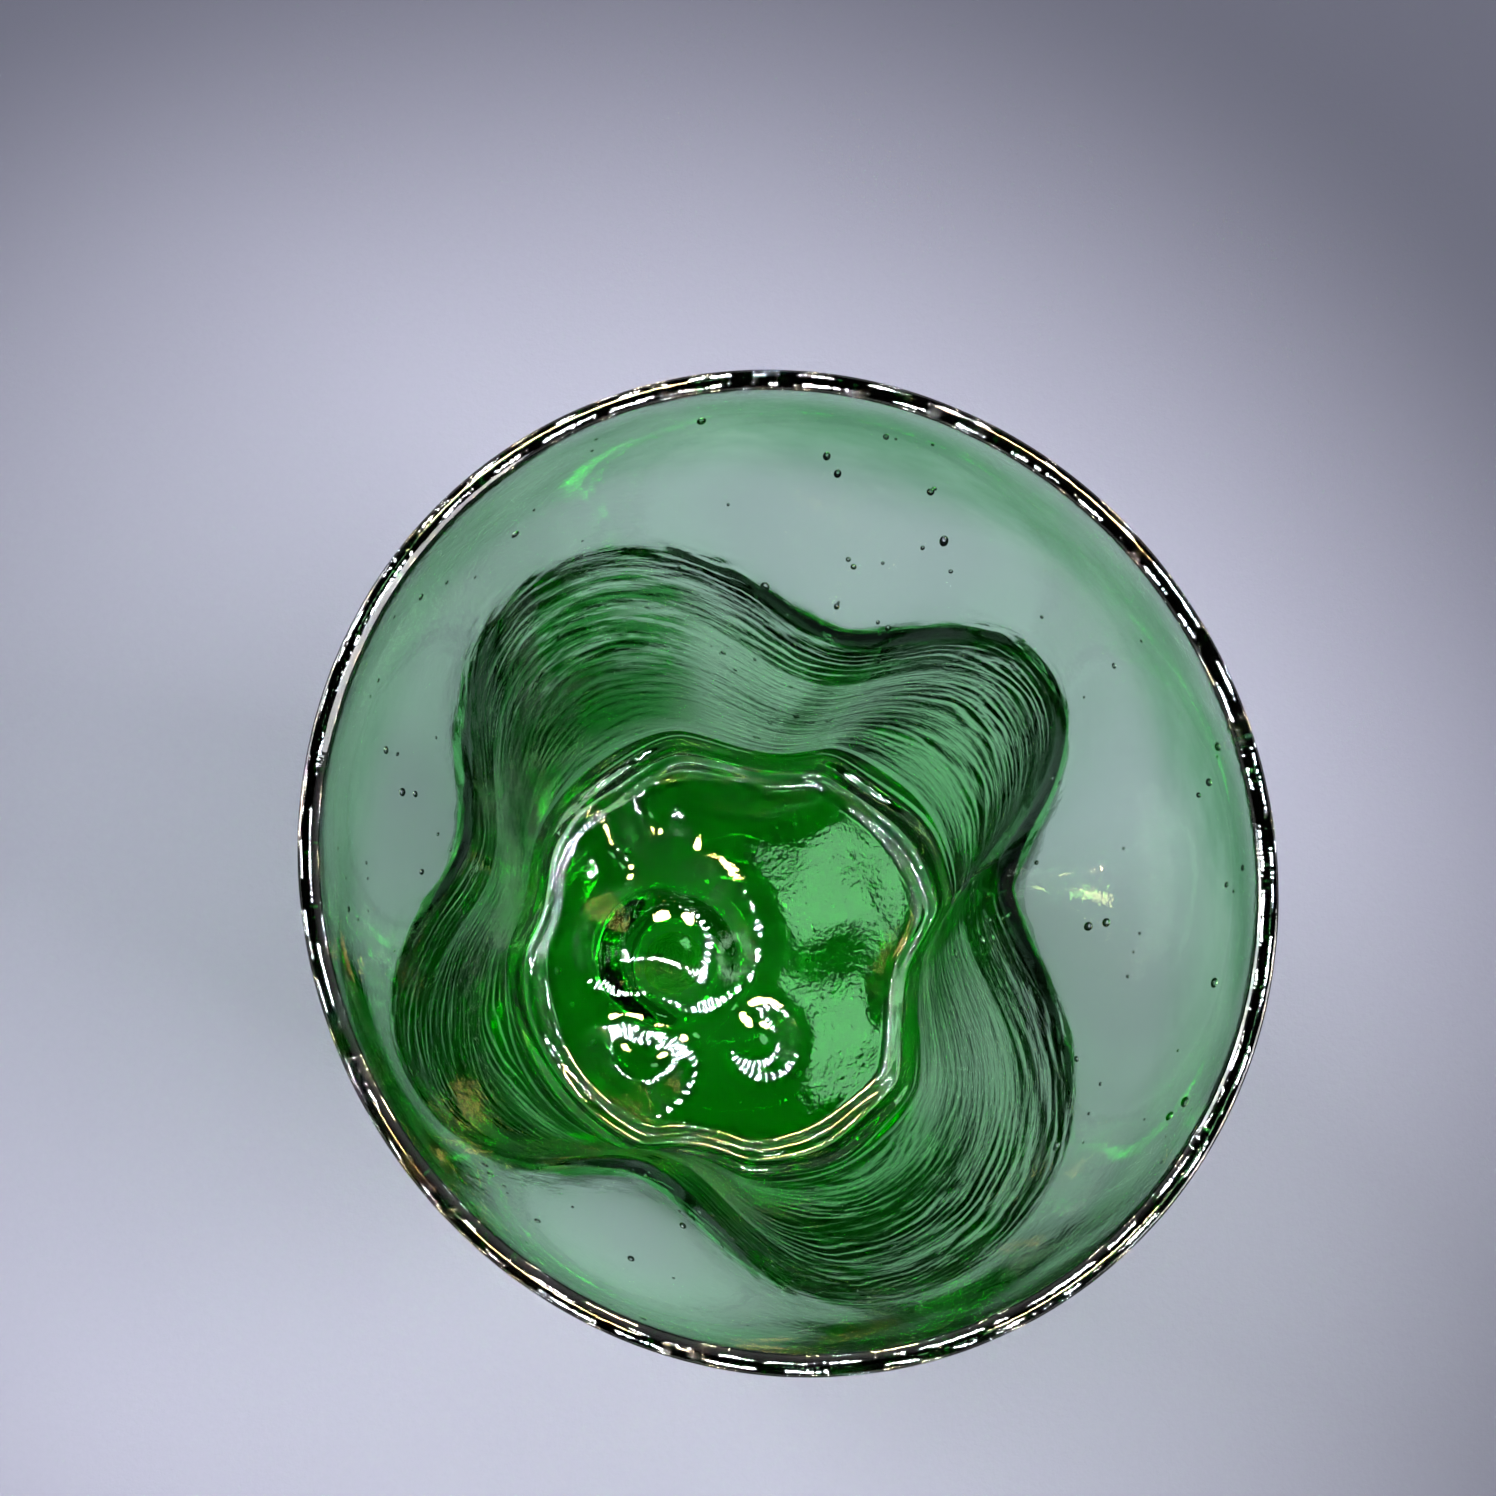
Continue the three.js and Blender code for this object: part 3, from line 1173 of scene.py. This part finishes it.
@dataclass(frozen=True)
class GreenGlass:
    """Clear green bottle glass, fire-polished, with the cords and scratches of hand work, and painted shade
    in the lobes and in a band under the rim.

    Attributes:
        loss: How much red, green and blue light a metre of the glass takes, in nepers.
        ior: The index of refraction of soda-lime glass.
        polish: The roughness of the fire-polished faces.
        scar: The roughness of the break-off scar under the base.
        grime: The tint of the scar.
        grain: The grain of the scar.
        cord: The fine drawn lines.
        wave: The small waves in the floor, which break up what it mirrors.
        pits: The small marks of use.
        zones: Where the tints, the painted shade and the cords begin and end.
        rim_band_painted_shade: The darkest and the palest colour of the painted shade in the band under the
            rim, which stands in for the deeper green of the wall seen edge-on.
        lobe_painted_shading: The darkest and the palest colour of the painted shade in the lobes, which
            stands in for the dark and bright streaks of light in the rippled wall.
        other_lobe_painted_shade: The darkest painted shade in the lobes other than the most darkened one.
        lower: The darkest and the palest even tint of the lower part.
        upper: The darkest and the palest even tint of the upper wall.
    """

    loss: Light = (196.0, 46.0, 176.0)
    ior: float = 1.52
    polish: float = 0.0
    scar: float = 0.3
    grime: Colour = (0.22, 0.34, 0.14, 1.0)
    grain: Relief = Relief(0.5 * MM, 0.5 * MM, 6.0, 0.7)
    cord: Relief = Relief(9 * MM, 0.07 * MM, 4.0, 0.6, (1, 1, 5.5))
    wave: Relief = Relief(1.8 * MM, 0.012 * MM, 3.0, 0.6, shift=(7, 2, 3))
    pits: Relief = Relief(0.7 * MM, 0.008 * MM, 2.0, 0.5, shift=(3, 5, 1))
    zones: GlassZones = GlassZones()
    rim_band_painted_shade: tuple[Colour, Colour] = ((0.34, 0.62, 0.41, 1.0), (0.78, 0.94, 0.82, 1.0))
    lobe_painted_shading: tuple[Colour, Colour] = ((0.02, 0.22, 0.03, 1.0), (0.97, 1.0, 0.98, 1.0))
    other_lobe_painted_shade: Colour = (0.92, 1.0, 0.92, 1.0)
    lower: tuple[Colour, Colour] = ((0.95, 0.93, 0.96, 1.0), (1.0, 0.96, 1.0, 1.0))
    upper: tuple[Colour, Colour] = ((0.93, 0.86, 0.96, 1.0), (0.98, 0.91, 1.0, 1.0))

    def make(self, shape: TumblerShape) -> bpy.types.Material:
        """Makes the material.

        Args:
            shape: The sizes of the tumbler, for the place of the scar.

        Returns:
            The material.
        """
        material = bpy.data.materials.new("green_glass")
        g = ShaderGraph(material)
        place = g.place()
        density = max(self.loss) * 1.04
        absorbing = tuple(1.0 - loss / density for loss in self.loss)
        body = g.node("ShaderNodeVolumeAbsorption", {}, {"Color": (*absorbing, 1.0), "Density": density})

        height = g.height(place)
        away = g.away_from(place, shape.kick_up_centre)
        scar = 1.0 - away.above(shape.scar_radius * 0.95)
        scar = scar * (1.0 - height.above(shape.hollow + shape.kick_up))
        worked = height.eased(*self.zones.worked)
        worked = worked * (1.0 - self.zones.calm_share * height.eased(*self.zones.calm))
        normal = g.bump(self.cord.over(g, place) * worked, self.cord.depth)
        normal = g.bump(self.wave.over(g, place) * (1.0 - worked), self.wave.depth, under=normal)
        normal = g.bump(self.pits.over(g, place), self.pits.depth, under=normal)
        normal = g.bump(self.grain.over(g, place) * scar, self.grain.depth, under=normal)
        surface = g.node("ShaderNodeBsdfPrincipled", {}, {
            "Base Color": g.blend(scar, self.tint(g, place, height), self.grime),
            "Roughness": scar * self.scar + self.polish,
            "IOR": self.ior,
            "Transmission Weight": 1.0,
            "Normal": normal,
        })
        g.node("ShaderNodeOutputMaterial", {}, {"Surface": surface, "Volume": body})
        return material

    def tint(self, g: ShaderGraph, place: Socket, height: Socket) -> Socket:
        """Tints the glass and paints shade into it: darker and streaky in the lobes, and greener in a band
        under the rim.

        Args:
            g: The graph.
            place: The coordinates.
            height: The height over the table.

        Returns:
            The tint with the painted shade, near white where the glass is even.
        """
        z = self.zones
        # Painted shade: the lobes are darkened, most towards the foot, and left pale in streaks higher up,
        # in place of the dark and bright streaks of light in the rippled wall.
        in_lobe = (g.away_from(place) - height * z.lobe_lean).eased(*z.lobe_edge)
        in_lobe = in_lobe * height.within(z.lobe_foot, z.lobe_top)
        in_band = height.within(z.band_foot, z.band_top)
        fine = g.speckle(g.stretched(place, (1, 1, 6.0), (2, 0, 5)), 8 * MM, 5.0, 0.6)
        broad = g.speckle(g.stretched(place, (1, 1, 3.0), (0, 4, 1)), 24 * MM, 4.0, 0.6)
        pale = fine.eased(0.45, 0.57) * (height + broad * z.streak_drift).eased(*z.streaks)
        # Painted shade: one lobe is darkened more than the others.
        thick = g.vector("DOT_PRODUCT", place, z.darkest_lobe_way, "Value").eased(*z.darkest_lobe_edge)
        lobe = g.blend(pale, g.blend(thick, self.other_lobe_painted_shade, self.lobe_painted_shading[0]), self.lobe_painted_shading[1])
        # Painted shade: a greener, streaky band under the rim, in place of the deeper green of the wall seen
        # edge-on.
        band = g.blend(broad.eased(0.32, 0.66), *self.rim_band_painted_shade)
        upper = height.eased(*z.upper_wall)
        even = g.blend(upper, g.blend(broad, *self.lower), g.blend(broad, *self.upper))
        return g.blend(in_band, g.blend(in_lobe, even, lobe), band)


@dataclass(frozen=True)
class PaleTable:
    """The pale, faintly grained sheet that the tumbler stands on, with painted shade that darkens it away
    from the tumbler.

    Attributes:
        colour: Its colour.
        shade: Its colour in the hollows of the grain.
        far: The painted shade that it turns to away from the tumbler, in place of the light falling off
            there.
        centre: The middle of the part that the painted shade leaves bright.
        fall: The distances from there over which the painted shade darkens it.
        grain: The size of the grain.
        grain_depth: The depth of the grain.
        cloud: The size of the soft clouds in its colour.
    """

    colour: Colour = (0.49, 0.48, 0.60, 1.0)
    shade: Colour = (0.43, 0.42, 0.54, 1.0)
    far: Colour = (0.12, 0.12, 0.16, 1.0)
    centre: Span = (-16 * MM, -6 * MM)
    fall: Span = (70 * MM, 175 * MM)
    grain: float = 0.9 * MM
    grain_depth: float = 0.08 * MM
    cloud: float = 60 * MM

    def make(self) -> bpy.types.Material:
        """Returns the material."""
        material = bpy.data.materials.new("pale_table")
        g = ShaderGraph(material)
        place = g.place()
        fine = g.speckle(place, self.grain, 4.0, 0.7)
        broad = g.speckle(place, self.cloud, 2.0, 0.5)
        colour = g.blend(fine * 0.6 + broad * 0.4, self.shade, self.colour)
        # Painted shade: the table darkens away from the bright middle, in place of the light falling off.
        colour = g.blend(g.away_from(place, self.centre).eased(*self.fall), colour, self.far)
        surface = g.node("ShaderNodeBsdfPrincipled", {}, {
            "Base Color": colour, "Roughness": 0.9, "Specular IOR Level": 0.0,
            "Normal": g.bump(fine, self.grain_depth, 0.6)})
        g.node("ShaderNodeOutputMaterial", {}, {"Surface": surface})
        return material


# The studio


@dataclass
class Table:
    """The round table top under the tumbler.

    Attributes:
        radius: Its radius.
        thickness: Its thickness.
        gap: The gap under the foot ring.
        segments: The number of sides that its edge has.
        edge: The width of the bevel along it.
    """

    radius: float = 1.6
    thickness: float = 20 * MM
    gap: float = 0.05 * MM
    segments: int = 96
    edge: float = 4 * MM

    def build(self) -> bpy.types.Object:
        """Makes the table top.

        Returns:
            The object.
        """
        bm = bmesh.new()
        under = Matrix.Translation((0, 0, -self.thickness - self.gap))
        bmesh.ops.create_circle(bm, cap_ends=True, segments=self.segments, radius=self.radius, matrix=under)
        top = bmesh.ops.extrude_face_region(bm, geom=bm.faces[:])
        verts = [item for item in top["geom"] if isinstance(item, bmesh.types.BMVert)]
        bmesh.ops.translate(bm, verts=verts, vec=(0, 0, self.thickness))
        rim = [edge for edge in bm.edges if all(vert in verts for vert in edge.verts)]
        bmesh.ops.bevel(
            bm, geom=rim, offset=self.edge, affect="EDGES", segments=3, profile=0.5, material=-1)
        bmesh.ops.recalc_face_normals(bm, faces=bm.faces[:])
        mesh = bpy.data.meshes.new("table_top")
        bm.to_mesh(mesh)
        bm.free()
        table = bpy.data.objects.new("table_top", mesh)
        bpy.context.scene.collection.objects.link(table)
        mesh.materials.append(PaleTable().make())
        LOG.info("table_top: radius %.2f m", self.radius)
        return table


@dataclass(frozen=True)
class SoftBox:
    """A square area lamp that points at the tumbler.

    Attributes:
        name: Its name.
        place: Where it hangs.
        width: Its width.
        power: Its power, in watts.
        colour: The colour of its light.
    """

    name: str
    place: Place
    width: float
    power: float
    colour: Light = (1.0, 1.0, 1.0)

    def build(self, target: Vector) -> bpy.types.Object:
        """Makes the lamp.

        Args:
            target: The point that it faces.

        Returns:
            The lamp.
        """
        light = bpy.data.lights.new(self.name, "AREA")
        light.shape = "SQUARE"
        light.size = self.width
        light.energy = self.power
        light.color = self.colour
        lamp = bpy.data.objects.new(self.name, light)
        lamp.location = self.place
        lamp.rotation_euler = (target - Vector(self.place)).to_track_quat("-Z", "Y").to_euler()
        bpy.context.scene.collection.objects.link(lamp)
        LOG.info("%s: %.1f W", self.name, self.power)
        return lamp


@dataclass(frozen=True)
class Sparks:
    """Small bright globes that are only seen as sparks in the glass.

    Attributes:
        name: The name of the group.
        places: Where they hang.
        radius: The radius of a globe.
        glow: Their brightness.
        colour: The colour of their light.
    """

    name: str
    places: tuple[Place, ...]
    radius: float
    glow: float
    colour: Light

    def material(self) -> bpy.types.Material:
        """Returns the glowing material."""
        material = bpy.data.materials.new(self.name)
        g = ShaderGraph(material)
        surface = g.node("ShaderNodeEmission", {}, {
            "Color": (*self.colour, 1.0), "Strength": self.glow})
        g.node("ShaderNodeOutputMaterial", {}, {"Surface": surface})
        material.cycles.emission_sampling = "NONE"
        return material

    def build(self) -> bpy.types.Object:
        """Makes the globes.

        Returns:
            One object that holds them all, hidden from the camera, from diffuse rays and from shadows.
        """
        bm = bmesh.new()
        for place in self.places:
            there = Matrix.Translation(place)
            bmesh.ops.create_icosphere(bm, subdivisions=2, radius=self.radius, matrix=there)
        mesh = bpy.data.meshes.new(self.name)
        bm.to_mesh(mesh)
        bm.free()
        globes = bpy.data.objects.new(self.name, mesh)
        bpy.context.scene.collection.objects.link(globes)
        mesh.materials.append(self.material())
        globes.visible_camera = False
        globes.visible_diffuse = False
        globes.visible_shadow = False
        LOG.info("%s: %d globes", self.name, len(self.places))
        return globes


@dataclass(frozen=True)
class Room:
    """Where small lamps are scattered round the room.

    Attributes:
        away: The nearest and the furthest that they are from the tumbler's axis.
        height: The lowest and the highest that they hang over the table.
        jitter: How far they are off even turns, as a share of a turn between two.
    """

    away: Span = (0.45, 0.75)
    height: Span = (0.22, 0.5)
    jitter: float = 0.3

    def places(self, count: int, order: int) -> tuple[Place, ...]:
        """Scatters lamps round the room.

        Args:
            count: How many there are.
            order: The number that the random places start from.

        Returns:
            Their places.
        """
        rng = random.Random(order)
        found = []
        for index in range(count):
            turn = math.tau * (index + rng.uniform(-self.jitter, self.jitter)) / count
            away = rng.uniform(*self.away)
            found.append((away * math.cos(turn), away * math.sin(turn), rng.uniform(*self.height)))
        return tuple(found)


@dataclass(frozen=True)
class RingLamp:
    """A ring lamp above the tumbler, made of rows of small globes.

    Attributes:
        count: The number of globes in a row.
        rows: How far the rows are from the middle one.
        radius: The radius of the middle row.
        centre: The centre of the ring.
    """

    count: int = 36
    rows: tuple[float, ...] = (-10 * MM, 0.0, 10 * MM)
    radius: float = 0.13
    centre: Place = (0.003, 0.036, 0.33)

    def places(self) -> tuple[Place, ...]:
        """Returns the places of the globes."""
        x, y, z = self.centre
        turns = [math.tau * index / self.count for index in range(self.count)]
        radii = [self.radius + row for row in self.rows]
        return tuple((x + radius * math.cos(turn), y + radius * math.sin(turn), z)
                     for turn in turns for radius in radii)


@dataclass
class Studio:
    """The table, the lamps and the sky.

    Attributes:
        sky: The brightness of the sky from the horizon up to overhead, as pairs of height and level.
        warm: The places of the two warm lamps that the round mark in the floor mirrors.
        boxes: The soft lamps that light the tumbler, and the small one that the floor mirrors.
        sparks: The small lamps that are only seen as sparks in the glass.
    """

    sky: tuple[Span, ...] = ((0.0, 0.26), (0.15, 0.3), (0.35, 0.8), (0.6, 0.8), (0.8, 0.01))
    warm: tuple[Place, ...] = ((-0.015, 0.228, 0.72), (0.15, 0.228, 0.72))
    boxes: tuple[SoftBox, ...] = (
        SoftBox("right_softbox", (0.95, -0.25, 0.85), 0.7, 14.0),
        SoftBox("left_softbox", (-0.85, 0.45, 0.75), 0.6, 11.0, (0.95, 0.98, 1.0)),
        SoftBox("window", (0.112, 0.075, 0.8), 0.058, 0.088, (0.34, 1.0, 0.44)),
    )
    sparks: tuple[Sparks, ...] = (
        Sparks("ring_globes", RingLamp().places(), 3.4 * MM, 420.0, (0.9, 0.97, 1.0)),
        Sparks("warm_globes", warm, 46 * MM, 160.0, (1.0, 0.62, 0.24)),
        Sparks("amber_globes", Room().places(44, 3), 16 * MM, 400.0, (1.0, 0.70, 0.36)),
        Sparks("white_globes", Room().places(38, 8), 12 * MM, 450.0, (0.88, 0.95, 1.0)),
    )

    def hang_sky(self) -> None:
        """Makes a sky that is dim at the horizon and dark where the photographer stands."""
        world = bpy.data.worlds.new("studio_sky")
        bpy.context.scene.world = world
        g = ShaderGraph(world)
        up = g.height(g.node("ShaderNodeTexCoord", output="Generated"))
        level = g.node("ShaderNodeValToRGB", {"stops": self.sky}, {"Fac": up})
        background = g.node("ShaderNodeBackground", {}, {"Color": level, "Strength": 1.0})
        g.node("ShaderNodeOutputWorld", {}, {"Surface": background})

    def build(self, target: Vector) -> None:
        """Builds the whole studio.

        Args:
            target: The point that the lamps face.
        """
        Table().build()
        self.hang_sky()
        for box in self.boxes:
            box.build(target)
        for group in self.sparks:
            group.build()


@dataclass
class PhotoCamera:
    """The camera, worked out from where the photograph shows the rim and the point below it.

    Attributes:
        frame: The width and the height of the photograph, in pixels.
        focal: The focal length, in pixels.
        nadir: Where a plumb line under the camera would meet the picture plane, in pixels.
        rim_centre: The centre of the rim, in pixels.
        rim_pixels: The rim's radius, in pixels.
        sensor: The sensor's width, in millimetres.
    """

    frame: float = 1496.0
    focal: float = 2000.0
    nadir: Span = (600.0, 1185.0)
    rim_centre: Span = (796.0, 846.0)
    rim_pixels: float = 501.0
    sensor: float = 36.0

    def sight(self, pixel: Span) -> Vector:
        """Returns the direction of a pixel, in the camera's own axes."""
        half = self.frame / 2
        return Vector(((pixel[0] - half) / self.focal, (half - pixel[1]) / self.focal, -1.0))

    def build(self, shape: TumblerShape) -> bpy.types.Object:
        """Places the camera.

        Args:
            shape: The sizes of the tumbler, for its rim.

        Returns:
            The camera.
        """
        up = -self.sight(self.nadir).normalized()
        right = (Vector((1, 0, 0)) - up * up.x).normalized()
        ahead = up.cross(right)
        to_world = Matrix((right, ahead, up))
        distance = self.focal * shape.rim_radius / self.rim_pixels
        rim_in_camera = self.sight(self.rim_centre) * distance
        place = Vector((0, 0, shape.height)) - to_world @ rim_in_camera
        data = bpy.data.cameras.new("photo_camera")
        data.sensor_width = self.sensor
        data.lens = self.focal / self.frame * self.sensor
        data.clip_start = 0.01
        camera = bpy.data.objects.new("photo_camera", data)
        camera.matrix_world = Matrix.Translation(place) @ to_world.to_4x4()
        bpy.context.scene.collection.objects.link(camera)
        bpy.context.scene.camera = camera
        LOG.info("photo_camera: lens %.1f mm, %.3f m up", data.lens, place.z)
        return camera


def main() -> None:
    """Builds the tumbler, the studio and the camera, in that order."""
    logging.basicConfig(level=logging.INFO, format="%(name)s: %(message)s")
    glass = GlassBody()
    tumbler = glass.build()
    tumbler.data.materials.append(GreenGlass().make(glass.shape))
    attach(tumbler, "root")
    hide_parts("glass_body")
    Studio().build(Vector((0, 0, glass.shape.height / 2)))
    PhotoCamera().build(glass.shape)
    bpy.context.scene.view_settings.view_transform = "Standard"


if __name__ == "__main__":
    main()
